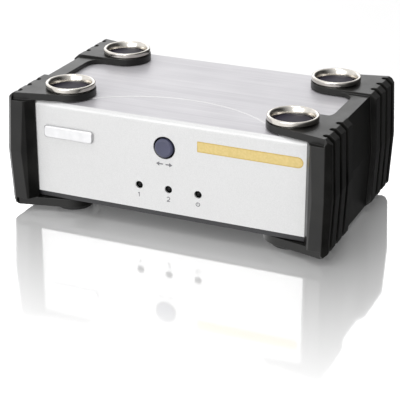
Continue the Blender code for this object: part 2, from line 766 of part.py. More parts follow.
def screw_profile(shank_r, shank_long):
    """Pan head above height 0, shank below it."""
    return [
        (0, SCREW_HEAD),
        (SCREW_HEAD_R - SCREW_EDGE, SCREW_HEAD),
        (SCREW_HEAD_R, SCREW_HEAD - SCREW_EDGE),
        (SCREW_HEAD_R, 0),
        (shank_r, 0),
        (shank_r, -shank_long),
        (0, -shank_long),
    ]


def make_screw(name, profile, axis, head, centre, side, finish):
    """A slotted screw whose head sits at a place on an axis and points to one side of it."""
    mesh = turned([(r, side * (head + h)) for r, h in profile], axis, centre, SMALL_STEPS)
    screw = piece(name, mesh, finish, PLANES[axis](*centre, side * head))
    wide, deep = SCREW_SLOT
    long = SCREW_HEAD_R + OVER
    u, v = centre
    top = head + SCREW_HEAD
    low, high = sorted((side * (top - deep), side * (top + OVER)))
    combine(screw, prism(rectangle(u - long, u + long, v - wide / 2, v + wide / 2), low, high, axis))


def make_screws(finish):
    head = MAIN_TOP + GAP
    profile = screw_profile(SCREW_R, head - TRAY_FLOOR - GAP)
    names = ("front_left", "rear_left", "front_right", "rear_right")
    for name, centre in zip(names, board_screw_places()):
        make_screw(f"board_screw_{name}", profile, "z", head, centre, 1, finish)
    profile = screw_profile(COVER_SCREW_R, COVER_SCREW_LONG)
    for side_name, side in (("left", -1), ("right", 1)):
        for end_name, end in (("front", -1), ("rear", 1)):
            name = f"cover_screw_{side_name}_{end_name}"
            centre = (end * COVER_SCREW_Y, COVER_SCREW_Z)
            make_screw(name, profile, "x", CASE_X + GAP, centre, side, finish)


def spacer_places():
    x, y = SPACER_XY
    return [(-x, y), (x, y)]


def board_holes(places, radius, low, high):
    mesh = bmesh.new()
    for centre in places:
        cylinder(radius, low - OVER, high + OVER, "z", centre, mesh=mesh)
    return mesh


def make_boards(finish):
    main = piece("main_board", box((-MAIN_X, MAIN_X), MAIN_Y, (MAIN_LOW, MAIN_TOP)), finish)
    tip_hole_r = SPACER_TIP_R + HOLE_CLEAR
    combine(main, board_holes(board_screw_places(), SCREW_HOLE_R, MAIN_LOW, MAIN_TOP))
    combine(main, board_holes(spacer_places(), tip_hole_r, MAIN_LOW, MAIN_TOP))
    port = piece("port_board", box((-MAIN_X, MAIN_X), PORT_Y, (PORT_LOW, PORT_TOP)), finish)
    combine(port, board_holes(spacer_places(), tip_hole_r, PORT_LOW, PORT_TOP))
    half = FRONT_BOARD_WIDE / 2
    heights = (MAIN_TOP + FRONT_BOARD_LIFT, COVER_UNDER - FRONT_BOARD_TOP)
    piece("front_board", box((-half, half), (FRONT_BOARD_Y, FRONT_BOARD_Y + BOARD), heights), finish)


def make_headers(finish):
    """Pin headers that join the port board and the front board to the main board."""
    low = MAIN_TOP + GAP
    wide, deep = HEADER
    y = PORT_Y[0] + HEADER_IN
    header = box((-wide / 2, wide / 2), (y, y + deep), (low, PORT_LOW - GAP))
    piece("board_header", header, finish)
    wide, deep, tall = FRONT_HEADER
    y = FRONT_BOARD_Y + BOARD + GAP
    piece("front_header", box((-wide / 2, wide / 2), (y, y + deep), (low, low + tall)), finish)


def make_chip(name, chip, finish):
    """A chip whose sides slope to its mould line at half height."""
    wide, deep, tall, x, y = chip
    low = MAIN_TOP + GAP
    sections = [
        [(x + u, y + v, z) for u, v in rectangle(-w / 2, w / 2, -d / 2, d / 2)]
        for w, d, z in (
            (wide - CHIP_BEVEL, deep - CHIP_BEVEL, low),
            (wide, deep, low + tall / 2),
            (wide - CHIP_BEVEL, deep - CHIP_BEVEL, low + tall),
        )
    ]
    piece(name, add_loft(bmesh.new(), sections), finish)


def spacer_profile():
    """A nylon post between the boards, with a snap tip through each."""
    low, high = MAIN_TOP + GAP, PORT_LOW - GAP
    return [
        (0, PORT_TOP + SPACER_TIP),
        (SPACER_TIP_R, PORT_TOP + SPACER_TIP),
        (SPACER_TIP_R, high),
        (SPACER_R, high),
        (SPACER_R, low),
        (SPACER_TIP_R, low),
        (SPACER_TIP_R, MAIN_LOW - SPACER_TIP),
        (0, MAIN_LOW - SPACER_TIP),
    ]


def make_board_parts(finishes):
    make_headers(finishes["switch"])
    make_chip("controller_chip", CONTROLLER_CHIP, finishes["switch"])
    make_chip("switch_chip", SWITCH_CHIP, finishes["switch"])
    for name, centre in zip(("left", "right"), spacer_places()):
        mesh = turned(spacer_profile(), centre=centre, steps=SMALL_STEPS)
        piece(f"board_spacer_{name}", mesh, finishes["nylon"], (*centre, MAIN_TOP + GAP))


# Front controls

def make_button(finish):
    """The cap in the panel's hole, with a flange behind it and a stem to the switch."""
    flange_r = BUTTON_HOLE_R + BUTTON_FLANGE
    profile = [
        (0, BUTTON_FRONT),
        (BUTTON_R - BUTTON_BEVEL, BUTTON_FRONT),
        (BUTTON_R, BUTTON_FRONT + BUTTON_BEVEL),
        (BUTTON_R, PANEL_BACK + GAP),
        (flange_r, PANEL_BACK + GAP),
        (flange_r, BUTTON_FLANGE_BACK),
        (BUTTON_STEM_R, BUTTON_FLANGE_BACK),
        (BUTTON_STEM_R, STEM_END),
        (0, STEM_END),
    ]
    mesh = turned(profile, "y", (BUTTON_X, BUTTON_Z))
    piece("select_button", mesh, finish, (BUTTON_X, BUTTON_FRONT, BUTTON_Z))


def make_push_switch(finishes):
    centre = (BUTTON_X, BUTTON_Z)
    mesh = cylinder(PLUNGER_R, PLUNGER_FRONT, PLUNGER_END, "y", centre)
    origin = (BUTTON_X, PLUNGER_FRONT, BUTTON_Z)
    piece("tact_switch_plunger", mesh, finishes["nylon"], origin)
    half = SWITCH / 2
    body = box(
        (BUTTON_X - half, BUTTON_X + half),
        (SWITCH_FRONT, SWITCH_FRONT + SWITCH_TALL),
        (BUTTON_Z - half, BUTTON_Z + half),
    )
    switch = piece("tact_switch_body", body, finishes["switch"])
    bore = cylinder(PLUNGER_R + GAP, SWITCH_FRONT - OVER, PLUNGER_BORE_END, "y", centre)
    combine(switch, bore)


def led_profile():
    """A round-ended lamp with a collar at its base."""
    tip = -PANEL_Y + LED_SUNK
    collar_proud, collar_thick = LED_FLANGE
    collar_r, collar = LED_R + collar_proud, tip + LED_LONG
    turns = [math.pi / 2 * i / DOME_STEPS for i in range(DOME_STEPS + 1)]
    dome = [(LED_R * math.sin(a), tip + LED_R * (1 - math.cos(a))) for a in turns]
    base = collar + collar_thick
    return dome + [(LED_R, collar), (collar_r, collar), (collar_r, base), (0, base)]


def make_leds(finish):
    base = led_profile()[-1][1]
    half = LED_LEAD / 2
    for name, x in zip(("first", "second", "mode"), LED_X):
        led = piece(f"{name}_led", turned(led_profile(), "y", (x, LED_Z), SMALL_STEPS), finish)
        leads = bmesh.new()
        for side in (-1, 1):
            z = LED_Z + side * LED_LEAD_PITCH / 2
            long = (base - LED_LEAD, FRONT_BOARD_Y - GAP)
            box((x - half, x + half), long, (z - half, z + half), leads)
        combine(led, leads, "UNION")


def make_badge(finish):
    """A blank raised plate with sloping edges."""
    wide, tall, thick = BADGE
    centre = (BADGE_X, COVER_TOP - BADGE_BELOW_TOP)
    low = -PANEL_Y - GAP
    sections = [
        [(u, y, v) for u, v in rounded(wide - 2 * inset, tall - 2 * inset, BADGE_CORNER, centre)]
        for inset, y in ((0, low), (0, low - thick + BADGE_EDGE), (BADGE_EDGE, low - thick))
    ]
    piece("badge_plate", add_loft(bmesh.new(), sections), finish)


# Rear connectors

def make_video_shell(name, column, low, high, finish):
    """A flange behind the rear panel with a D-shaped shell out through it."""
    centre = (column, DSUB_Z)
    half_w, half_t = DSUB_FLANGE[0] / 2, DSUB_FLANGE[1] / 2
    out = REAR_FACE + DSUB_OUT
    plate = box((column - half_w, column + half_w), (low, high), (DSUB_Z - half_t, DSUB_Z + half_t))
    shell = piece(f"{name}_video_shell", plate, finish)
    combine(shell, prism(d_outline(centre), (low + high) / 2, out, "y"), "UNION")
    holes = prism(d_outline(centre, -DSUB_WALL), low - OVER, out + OVER, "y")
    for side in (-1, 1):
        jack = (column + side * JACK_PITCH / 2, DSUB_Z)
        cylinder(JACK_STUD_R + HOLE_CLEAR, low - OVER, high + OVER, "y", jack, mesh=holes)
    combine(shell, holes)


def make_video_insert(name, column, back, finish):
    """The housing behind the flange and the D-shaped face inside the shell."""
    wide, tall, deep = DSUB_HOUSING
    x = (column - wide / 2, column + wide / 2)
    housing = box(x, (back - deep, back), (DSUB_Z - tall / 2, DSUB_Z + tall / 2))
    insert = piece(f"{name}_video_insert", housing, finish)
    outline = d_outline((column, DSUB_Z), -DSUB_WALL - GAP)
    face = REAR_FACE + DSUB_OUT - DSUB_RECESS
    combine(insert, prism(outline, back - ROOT, face, "y"), "UNION")


def make_jack_nuts(finish):
    """Hexagonal nuts either side of each D-shaped shell, each with a stud and a bore."""
    names = [f"{column}_{side}" for column in COLUMN_NAMES for side in ("left", "right")]
    face = REAR_FACE + GAP
    end = face + JACK_LONG
    stud_end = REAR_BACK - GAP - DSUB_FLANGE[2] - GAP - JACK_STUD_PAST
    radius, deep = JACK_BORE
    for name, x in zip(names, JACK_X):
        centre = (x, DSUB_Z)
        hexagon = cylinder(JACK_FLATS / math.sqrt(3), face, end, "y", centre, HEXAGON)
        nut = piece(f"jack_nut_{name}", hexagon, finish)
        combine(nut, cylinder(JACK_STUD_R, stud_end, face + ROOT, "y", centre), "UNION")
        combine(nut, cylinder(radius, end - deep, end + OVER, "y", centre))


def make_socket(name, centre, body, nose, groove, finish):
    """A board-mounted round socket: block, round nose through the rear panel, ring groove."""
    wide, tall, deep = body
    nose_r, nose_out = nose
    inner, outer, groove_deep = groove
    high, out = REAR_BACK - GAP, REAR_FACE + nose_out
    block = box(
        (centre[0] - wide / 2, centre[0] + wide / 2),
        (high - deep, high),
        (centre[1] - tall / 2, centre[1] + tall / 2),
    )
    socket = piece(name, block, finish)
    combine(socket, cylinder(nose_r, high - ROOT, out, "y", centre, ROUND_STEPS), "UNION")
    low = out - groove_deep
    ring = [(outer, out + OVER), (outer, low), (inner, low), (inner, out + OVER)]
    combine(socket, turned(ring, "y", centre, SMALL_STEPS))


def make_connectors(finishes):
    flange_back = REAR_BACK - GAP
    flange_front = flange_back - DSUB_FLANGE[2]
    for name, column in zip(COLUMN_NAMES, COLUMNS):
        make_video_shell(name, column, flange_front, flange_back, finishes["steel"])
        make_video_insert(name, column, flange_front - GAP, finishes["insert"])
    make_jack_nuts(finishes["steel"])
    sockets = [(name, kind) for name in COLUMN_NAMES[:2] for kind in ("keyboard", "mouse")]
    nose = (DIN_NOSE_R, DIN_NOSE_OUT)
    for (name, kind), x in zip(sockets, DIN_X):
        make_socket(f"{name}_{kind}_socket", (x, DIN_Z), DIN_BODY, nose, DIN_GROOVE, finishes[kind])
    nose = (POWER_NOSE_R, POWER_NOSE_OUT)
    centre = (COLUMNS[2], POWER_Z)
    make_socket("power_jack", centre, POWER_BODY, nose, POWER_GROOVE, finishes["switch"])


def main():
    clear_scene()
    finishes = make_finishes()
    make_cover(finishes["silver"])
    make_tray(finishes["tray"])
    make_end_cap("left_end_cap", -1, finishes["cap"])
    make_end_cap("right_end_cap", 1, finishes["cap"])
    make_corners(finishes)
    make_button(finishes["button"])
    make_push_switch(finishes)
    make_leds(finishes["led"])
    make_badge(finishes["badge"])
    make_screws(finishes["steel"])
    make_boards(finishes["board"])
    make_board_parts(finishes)
    make_connectors(finishes)


main()
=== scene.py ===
"""Looks for the desktop KVM switch box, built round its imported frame.

Sizes are in millimetres and turned to metres as each mesh is made. Places come from
the boxes of the frame's nodes. The front is -Y, the right end +X and the floor z = 0.
"""

import json
import math

import bmesh
import bpy
from mathutils import Matrix, Vector


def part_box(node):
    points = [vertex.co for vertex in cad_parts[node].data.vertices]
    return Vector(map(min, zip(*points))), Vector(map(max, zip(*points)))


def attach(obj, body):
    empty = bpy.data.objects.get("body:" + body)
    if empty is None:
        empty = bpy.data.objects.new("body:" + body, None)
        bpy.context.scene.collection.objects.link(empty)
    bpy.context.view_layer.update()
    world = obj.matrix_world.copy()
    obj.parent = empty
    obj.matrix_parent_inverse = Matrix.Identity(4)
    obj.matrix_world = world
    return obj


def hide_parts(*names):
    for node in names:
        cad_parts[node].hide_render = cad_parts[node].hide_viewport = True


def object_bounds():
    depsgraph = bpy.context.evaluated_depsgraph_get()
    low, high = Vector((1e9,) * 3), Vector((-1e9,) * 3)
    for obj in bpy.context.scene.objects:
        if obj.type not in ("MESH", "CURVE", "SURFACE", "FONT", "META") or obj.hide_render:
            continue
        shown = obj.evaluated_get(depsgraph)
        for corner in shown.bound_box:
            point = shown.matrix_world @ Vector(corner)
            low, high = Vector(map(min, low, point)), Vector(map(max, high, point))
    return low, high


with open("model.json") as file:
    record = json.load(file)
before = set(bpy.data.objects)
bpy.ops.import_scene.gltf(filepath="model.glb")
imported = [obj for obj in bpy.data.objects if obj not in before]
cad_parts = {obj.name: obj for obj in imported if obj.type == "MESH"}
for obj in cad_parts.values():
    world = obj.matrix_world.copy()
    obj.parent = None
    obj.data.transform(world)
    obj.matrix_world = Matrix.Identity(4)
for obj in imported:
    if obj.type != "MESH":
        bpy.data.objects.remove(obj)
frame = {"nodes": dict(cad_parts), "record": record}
CAD_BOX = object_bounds()

MM = 0.001
CORNERS = ("front_left", "front_right", "rear_left", "rear_right")
COLUMNS = ("console_1", "console_2", "computer")
FINE = 96  # steps round a large turned piece
MIDDLE = 48
SMALL = 32


# Meshes

def box_mm(node):
    """Lowest and highest corner of a frame node, in millimetres."""
    low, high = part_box(node)
    return low / MM, high / MM


def centre_mm(node):
    low, high = box_mm(node)
    return (low + high) / 2


def shade(data, degrees):
    data.shade_smooth()
    data.set_sharp_from_angle(angle=math.radians(degrees))


def new_piece(name, mesh, finish, body="case", replaced=(), smooth=35.0):
    """A piece from a bmesh in millimetres, riding on a body."""
    bmesh.ops.recalc_face_normals(mesh, faces=mesh.faces)
    mesh.transform(Matrix.Scale(MM, 4))
    data = bpy.data.meshes.new(name)
    mesh.to_mesh(data)
    mesh.free()
    shade(data, smooth)
    data.materials.append(finish)
    made = bpy.data.objects.new(name, data)
    bpy.context.scene.collection.objects.link(made)
    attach(made, body)
    if replaced:
        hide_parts(*replaced)
    return made


def turned(profile, centre, axis="z", steps=FINE, mesh=None):
    """A profile of (radius, height) turned about an axis through a centre."""
    mesh = mesh or bmesh.new()
    rings = []
    for radius, height in profile:
        count = steps if radius > 0 else 1
        ring = []
        for i in range(count):
            turn = 2 * math.pi * i / count
            u, v = radius * math.cos(turn), radius * math.sin(turn)
            if axis == "z":
                point = (centre[0] + u, centre[1] + v, centre[2] + height)
            else:
                point = (centre[0] + u, centre[1] + height, centre[2] + v)
            ring.append(mesh.verts.new(point))
        rings.append(ring)
    closed = all(radius > 0 for radius, _ in profile)
    following = rings[1:] + rings[:1] if closed else rings[1:]
    for lower, upper in zip(rings, following):
        for i in range(steps):
            j = (i + 1) % steps
            corners = [lower[i % len(lower)], lower[j % len(lower)]]
            corners += [upper[j % len(upper)], upper[i % len(upper)]]
            mesh.faces.new(list(dict.fromkeys(corners)))
    return mesh


def rounded_corner(corner, before, after, radius, steps=4):
    """Points that round one corner of a profile between its two neighbours."""
    corner, before, after = Vector(corner), Vector(before), Vector(after)
    start = corner + (before - corner).normalized() * radius
    end = corner + (after - corner).normalized() * radius
    points = []
    for i in range(steps + 1):
        t = i / steps
        points.append(start * (1 - t) ** 2 + corner * 2 * t * (1 - t) + end * t * t)
    return [tuple(point) for point in points]


def rounded_profile(points, radii):
    """A profile with its corners rounded; a radius of 0 keeps a corner sharp."""
    made = []
    count = len(points)
    for i, (point, radius) in enumerate(zip(points, radii)):
        if radius:
            made += rounded_corner(point, points[i - 1], points[(i + 1) % count], radius)
        else:
            made.append(point)
    return made


# Materials

def nodes_of(name):
    made = bpy.data.materials.new(name)
    made.use_nodes = True
    tree = made.node_tree
    return made, tree, tree.nodes["Principled BSDF"]


def node(tree, kind, **inputs):
    made = tree.nodes.new(kind)
    for name, value in inputs.items():
        made.inputs[name.replace("_", " ")].default_value = value
    return made


def coordinates(tree, stretch=(1.0, 1.0, 1.0)):
    """Object coordinates in millimetres, stretched along the axes."""
    source = tree.nodes.new("ShaderNodeTexCoord")
    mapping = tree.nodes.new("ShaderNodeMapping")
    mapping.inputs["Scale"].default_value = [s / MM for s in stretch]
    tree.links.new(source.outputs["Object"], mapping.inputs["Vector"])
    return mapping.outputs["Vector"]


def noise(tree, where, per_mm, detail=2.0, rough=0.5):
    made = node(tree, "ShaderNodeTexNoise", Scale=per_mm, Detail=detail, Roughness=rough)
    tree.links.new(where, made.inputs["Vector"])
    return made.outputs["Fac"]


def spread(tree, source, low, high, start=0.3, end=0.7):
    """A texture's values spread over low to high."""
    made = node(tree, "ShaderNodeMapRange", From_Min=start, From_Max=end, To_Min=low, To_Max=high)
    tree.links.new(source, made.inputs["Value"])
    return made.outputs["Result"]


def math_node(tree, operation, *values):
    made = tree.nodes.new("ShaderNodeMath")
    made.operation = operation
    for socket, value in zip(made.inputs, values):
        if isinstance(value, (int, float)):
            socket.default_value = value
        else:
            tree.links.new(value, socket)
    return made.outputs["Value"]


def tint(tree, source, dark, light):
    ramp = tree.nodes.new("ShaderNodeValToRGB")
    ramp.color_ramp.elements[0].color = (*dark, 1.0)
    ramp.color_ramp.elements[1].color = (*light, 1.0)
    ramp.color_ramp.elements[0].position = 0.3
    ramp.color_ramp.elements[1].position = 0.7
    tree.links.new(source, ramp.inputs["Fac"])
    return ramp.outputs["Color"]


def bump(tree, shader, height, strength, distance_mm, under=None):
    made = node(tree, "ShaderNodeBump", Strength=strength, Distance=distance_mm * MM)
    tree.links.new(height, made.inputs["Height"])
    if under:
        tree.links.new(under, made.inputs["Normal"])
    tree.links.new(made.outputs["Normal"], shader.inputs["Normal"])
    return made.outputs["Normal"]


def brushed_top_with_painted_shade(tree, colour, dark, light):
    """The colour, with faint streaks along X on the faces that look up; those faces are also painted darker
    and faintly lilac, which is painted shade on the top.
    """
    fine = noise(tree, coordinates(tree, (0.02, 1.0, 1.0)), 1.6, 3.0)
    broad = noise(tree, coordinates(tree, (0.01, 1.0, 1.0)), 0.16, 2.0)
    streaks = math_node(tree, "MULTIPLY", math_node(tree, "ADD", fine, broad), 0.5)
    split = tree.nodes.new("ShaderNodeSeparateXYZ")
    tree.links.new(tree.nodes.new("ShaderNodeNewGeometry").outputs["Normal"], split.inputs["Vector"])
    # faces that look up take the darker streaked colour: painted shade on the top
    blend = tree.nodes.new("ShaderNodeMix")
    blend.data_type = "RGBA"
    tree.links.new(spread(tree, split.outputs["Z"], 0.0, 1.0, 0.9, 1.0), blend.inputs["Factor"])
    tree.links.new(colour, blend.inputs["A"])
    tree.links.new(tint(tree, streaks, dark, light), blend.inputs["B"])
    return blend.outputs["Result"]


def paint(name, dark, light, roughness, metallic, grain=3.2, top=None):
    """Fine-grained paint on sheet metal: tiny flakes, a sandy grain and faint cloudiness. Given top colours,
    the faces that look up get streaks and a darker, faintly lilac tint, which is painted shade.
    """
    made, tree, shader = nodes_of(name)
    where = coordinates(tree)
    flakes = noise(tree, where, grain * 1.7, 3.0, 0.7)
    sand = noise(tree, where, grain, 2.0)
    clouds = noise(tree, where, 0.05, 2.0)
    colour = tint(tree, flakes, dark, light)
    # painted shade: the faces that look up are darkened
    if top:
        colour = brushed_top_with_painted_shade(tree, colour, *top)
    tree.links.new(colour, shader.inputs["Base Color"])
    tree.links.new(spread(tree, clouds, roughness - 0.04, roughness + 0.05), shader.inputs["Roughness"])
    shader.inputs["Metallic"].default_value = metallic
    bump(tree, shader, sand, 0.08, 0.04)
    return made


def moulded(name, dark, light, roughness, grain=2.4, strength=0.18, specular=0.5):
    """Moulded plastic: fine spark-eroded grain, with handled patches a little glossier."""
    made, tree, shader = nodes_of(name)
    where = coordinates(tree)
    fine = noise(tree, where, grain, 4.0, 0.6)
    patches = noise(tree, where, 0.08, 3.0)
    tree.links.new(tint(tree, patches, dark, light), shader.inputs["Base Color"])
    tree.links.new(spread(tree, patches, roughness - 0.05, roughness + 0.07), shader.inputs["Roughness"])
    shader.inputs["Specular IOR Level"].default_value = specular
    bump(tree, shader, fine, strength, 0.06)
    return made


def metal(name, dark, light, roughness, stretch=(1.0, 1.0, 12.0), grain=1.2):
    """Plated or polished metal with fine lathe lines and faint smears."""
    made, tree, shader = nodes_of(name)
    lines = noise(tree, coordinates(tree, stretch), grain, 3.0)
    smears = noise(tree, coordinates(tree), 0.25, 2.0)
    tree.links.new(tint(tree, smears, dark, light), shader.inputs["Base Color"])
    tree.links.new(spread(tree, lines, roughness - 0.04, roughness + 0.06), shader.inputs["Roughness"])
    shader.inputs["Metallic"].default_value = 1.0
    bump(tree, shader, lines, 0.05, 0.03)
    return made


def board_material(name):
    """Solder mask over faint copper tracks."""
    made, tree, shader = nodes_of(name)
    where = coordinates(tree)
    tracks = tree.nodes.new("ShaderNodeTexBrick")
    tracks.inputs["Scale"].default_value = 0.35
    tracks.inputs["Mortar Size"].default_value = 0.03
    tracks.inputs["Color1"].default_value = (0.012, 0.11, 0.05, 1.0)
    tracks.inputs["Color2"].default_value = (0.015, 0.13, 0.06, 1.0)
    tracks.inputs["Mortar"].default_value = (0.04, 0.26, 0.12, 1.0)
    tree.links.new(where, tracks.inputs["Vector"])
    tree.links.new(tracks.outputs["Color"], shader.inputs["Base Color"])
    grain = noise(tree, where, 1.5)
    tree.links.new(spread(tree, grain, 0.25, 0.4), shader.inputs["Roughness"])
    bump(tree, shader, tracks.outputs["Fac"], 0.2, 0.04)
    return made


def make_finishes():
    """One material for each slot of the record, and a near-black that paints the shade in gaps and holes."""
    return {
        # silver_paint's top colours are darker and faintly lilac: painted shade on the faces that look up
        "silver_paint": paint(
            "silver_paint", (0.52, 0.52, 0.52), (0.66, 0.66, 0.66), 0.42, 0.25,
            top=((0.43, 0.42, 0.445), (0.57, 0.56, 0.58)),
        ),
        # dark_paint is near-black so that the base tray shows as the dark gap under the front panel: painted
        # shade
        "dark_paint": paint("dark_paint", (0.022, 0.022, 0.024), (0.04, 0.04, 0.043), 0.5, 0.1),
        "black_plastic": moulded(
            "black_plastic", (0.0025, 0.0025, 0.0022), (0.0095, 0.0091, 0.008), 0.33, 1.8, 0.4, 0.4
        ),
        "satin_chrome": metal("satin_chrome", (0.56, 0.53, 0.49), (0.7, 0.67, 0.62), 0.19),
        "dark_gloss": moulded(
            "dark_gloss", (0.017, 0.015, 0.024), (0.03, 0.026, 0.04), 0.42, 1.5, 0.05, 0.05
        ),
        "rubber": moulded("rubber", (0.012, 0.012, 0.012), (0.022, 0.022, 0.022), 0.75, 1.8, 0.3),
        "blue_grey_plastic": moulded(
            "blue_grey_plastic", (0.045, 0.048, 0.085), (0.06, 0.062, 0.11), 0.4, 2.6, 0.1
        ),
        # near-black standing for the shade in gaps and holes: painted shade
        "gap_and_hole_shade_black": moulded(
            "gap_and_hole_shade_black", (0.001, 0.001, 0.001), (0.003, 0.003, 0.003), 0.7, specular=0.1
        ),
        "black_nylon": moulded("black_nylon", (0.012, 0.012, 0.012), (0.025, 0.025, 0.025), 0.45),
        "white_nylon": moulded("white_nylon", (0.66, 0.65, 0.6), (0.78, 0.77, 0.72), 0.45),
        "green_board": board_material("green_board"),
        "smoked_lens": moulded(
            "smoked_lens", (0.001, 0.001, 0.001), (0.003, 0.003, 0.003), 0.22, 0.8, 0.02, 0.15
        ),
        "badge_metal": metal(
            "badge_metal", (0.7, 0.7, 0.71), (0.8, 0.8, 0.81), 0.38, (0.03, 1.0, 6.0)
        ),
        "plated_steel": metal(
            "plated_steel", (0.5, 0.5, 0.5), (0.66, 0.66, 0.66), 0.24, (1.0, 8.0, 1.0)
        ),
        "blue_plastic": moulded("blue_plastic", (0.015, 0.045, 0.27), (0.02, 0.06, 0.33), 0.4),
        "purple_plastic": moulded("purple_plastic", (0.16, 0.07, 0.3), (0.2, 0.09, 0.36), 0.4),
        "green_plastic": moulded("green_plastic", (0.04, 0.3, 0.12), (0.06, 0.37, 0.16), 0.4),
    }


finishes = make_finishes()


def dress_frame():
    """Every frame node gets its slot's finish, also the ones that a piece replaces."""
    slots = {s["node"]: s["material_slot"] for s in frame["record"]["subparts"]}
    for name, obj in frame["nodes"].items():
        obj.data.materials.clear()
        obj.data.materials.append(finishes[slots[name]])


# Skins: copies of the frame's shells with their edges rounded

FLAT_ANGLE = math.radians(0.5)  # faces that differ by less are one face
EDGE_ANGLE = math.radians(25)  # edges sharper than this are rounded
WELD = 0.002


def make_skin(source, name, width_mm, slot):
    """A copy of a node with flat faces rejoined and a small rounding along its edges."""
    mesh = bmesh.new()
    mesh.from_mesh(frame["nodes"][source].data)
    mesh.transform(Matrix.Scale(1 / MM, 4))
    bmesh.ops.remove_doubles(mesh, verts=mesh.verts, dist=WELD)
    bmesh.ops.dissolve_limit(mesh, angle_limit=FLAT_ANGLE, verts=mesh.verts, edges=mesh.edges)
    skin = new_piece(name, mesh, finishes[slot], replaced=[source], smooth=22.0)
    rounding = skin.modifiers.new("edges", "BEVEL")
    rounding.width = width_mm * MM
    rounding.segments = 2
    rounding.limit_method = "ANGLE"
    rounding.angle_limit = EDGE_ANGLE
    rounding.use_clamp_overlap = False
    weighting = skin.modifiers.new("normals", "WEIGHTED_NORMAL")
    weighting.keep_sharp = True
    return skin


# Cups and feet

RIM_WIDE = 1.3
RIM_ROUND = 0.62
SKIRT_IN = 1.4  # the skirt below the rim's outer wall, in from it
SHOULDER_UP = 3.2
SHOULDER_ROUND = 0.15
SEAT_WIDE = 0.95  # ledge that carries the cup's floor
CUP_GAP = 0.3  # round and below the cup's floor
PAD_CROWN = 0.35
PAD_ROUND = 0.3
PAD_STEPS = 10
FOOT_THICK = 2.2
FOOT_STEM_R = 2.3


def make_ring(corner):
    """A turned metal rim: rounded lip, smooth outer wall, and a ledge for the floor."""
    low, high = box_mm(f"stacking_ring_{corner}")
    centre = centre_mm(f"stacking_ring_{corner}")
    outer, rim = (high.x - low.x) / 2, high.z
    floor_low, floor_high = box_mm(f"cup_floor_{corner}")
    skirt, bore = outer - SKIRT_IN, (floor_high.x - floor_low.x) / 2 + CUP_GAP
    shoulder, ledge = low.z + SHOULDER_UP, floor_low.z - CUP_GAP
    points = [
        (outer - RIM_WIDE, rim),
        (outer, rim),
        (outer, shoulder),
        (skirt, shoulder),
        (skirt, low.z),
        (bore - SEAT_WIDE, low.z),
        (bore - SEAT_WIDE, ledge),
        (bore, ledge),
        (bore, floor_high.z),
    ]
    radii = [RIM_ROUND, RIM_ROUND, SHOULDER_ROUND] + [0.0] * 6
    mesh = turned(rounded_profile(points, radii), (centre.x, centre.y, 0.0))
    new_piece(
        f"cup_rim_{corner}", mesh, finishes["satin_chrome"],
        replaced=[f"stacking_ring_{corner}"],
    )


def make_cup_floor(corner):
    """A slightly domed pad with a rounded edge."""
    node_name = f"cup_floor_{corner}"
    low, high = box_mm(node_name)
    centre = centre_mm(node_name)
    radius, edge = (high.x - low.x) / 2, high.z - PAD_CROWN
    profile = [(0.0, low.z), (radius, low.z)]
    profile += rounded_corner((radius, edge), (radius, low.z), (0, edge), PAD_ROUND)
    for i in range(1, PAD_STEPS):
        share = (radius - PAD_ROUND) / radius * (1 - i / PAD_STEPS)
        profile.append((radius * share, high.z - PAD_CROWN * share * share))
    profile.append((0.0, high.z))
    mesh = turned(profile, (centre.x, centre.y, 0.0))
    new_piece(f"cup_pad_{corner}", mesh, finishes["dark_gloss"], replaced=[node_name])


def make_foot(corner):
    """A round rubber pad on a stem, with its edges rounded."""
    node_name = f"foot_{corner}"
    low, high = box_mm(node_name)
    centre = centre_mm(node_name)
    radius, pad_top = (high.x - low.x) / 2, low.z + FOOT_THICK
    points = [
        (0.0, low.z),
        (radius, low.z),
        (radius, pad_top),
        (FOOT_STEM_R, pad_top),
        (FOOT_STEM_R, high.z),
        (0.0, high.z),
    ]
    mesh = turned(rounded_profile(points, [0, 0.5, 0.2, 0, 0.4, 0]), (centre.x, centre.y, 0.0))
    new_piece(f"foot_pad_{corner}", mesh, finishes["rubber"], replaced=[node_name])


# Front controls

BUTTON_R = 3.95
BUTTON_BACK = 2.3  # the cap's back, behind its front
BUTTON_FACE_IN = 0.75
BUTTON_LIP = 0.55
BUTTON_DISH = 0.22
BUTTON_ROUND = 0.14
BUTTON_SPLIT = 0.02  # between the cap and the flange behind it
FLANGE_THICK = 1.0
STEM_R = 1.5
CURVE_STEPS = 8
LAMP_R = 1.4
LAMP_LONG = 4.2
COLLAR_THICK = 0.6
LEAD_HALF = 0.25


def make_button():
    """The round cap with its bevelled edge and faintly dished face, and the flange and stem behind it,
    painted near-black so that they show as the shade in the gap round the cap."""
    low, high = box_mm("select_button")
    centre = centre_mm("select_button")
    front, flange_r = low.y, (high.x - low.x) / 2
    flange_front, lip = front + BUTTON_BACK, (BUTTON_R, front + BUTTON_LIP)
    flange_back, cap_back = flange_front + FLANGE_THICK, flange_front - BUTTON_SPLIT
    face_r = BUTTON_R - BUTTON_FACE_IN
    profile = [(0.0, front + BUTTON_DISH)]
    for i in range(1, CURVE_STEPS):
        share = i / CURVE_STEPS
        profile.append((face_r * share, front + BUTTON_DISH * (1 - share**2)))
    profile += rounded_corner((face_r, front), (0, front), lip, BUTTON_ROUND)
    profile += rounded_corner(lip, (face_r, front), (BUTTON_R, flange_front), BUTTON_ROUND)
    profile += [(BUTTON_R, cap_back), (0.0, cap_back)]
    mesh = turned(profile, (centre.x, 0.0, centre.z), "y", MIDDLE)
    finish = finishes["blue_grey_plastic"]
    new_piece(
        "select_button_cap", mesh, finish,
        body="button", replaced=["select_button"],
    )
    profile = [
        (0.0, flange_front),
        (flange_r, flange_front),
        (flange_r, flange_back),
        (STEM_R, flange_back),
        (STEM_R, high.y),
        (0.0, high.y),
    ]
    mesh = turned(profile, (centre.x, 0.0, centre.z), "y", MIDDLE)
    # the flange's near-black is painted shade for the gap round the cap
    new_piece("select_button_flange", mesh, finishes["gap_and_hole_shade_black"], body="button")


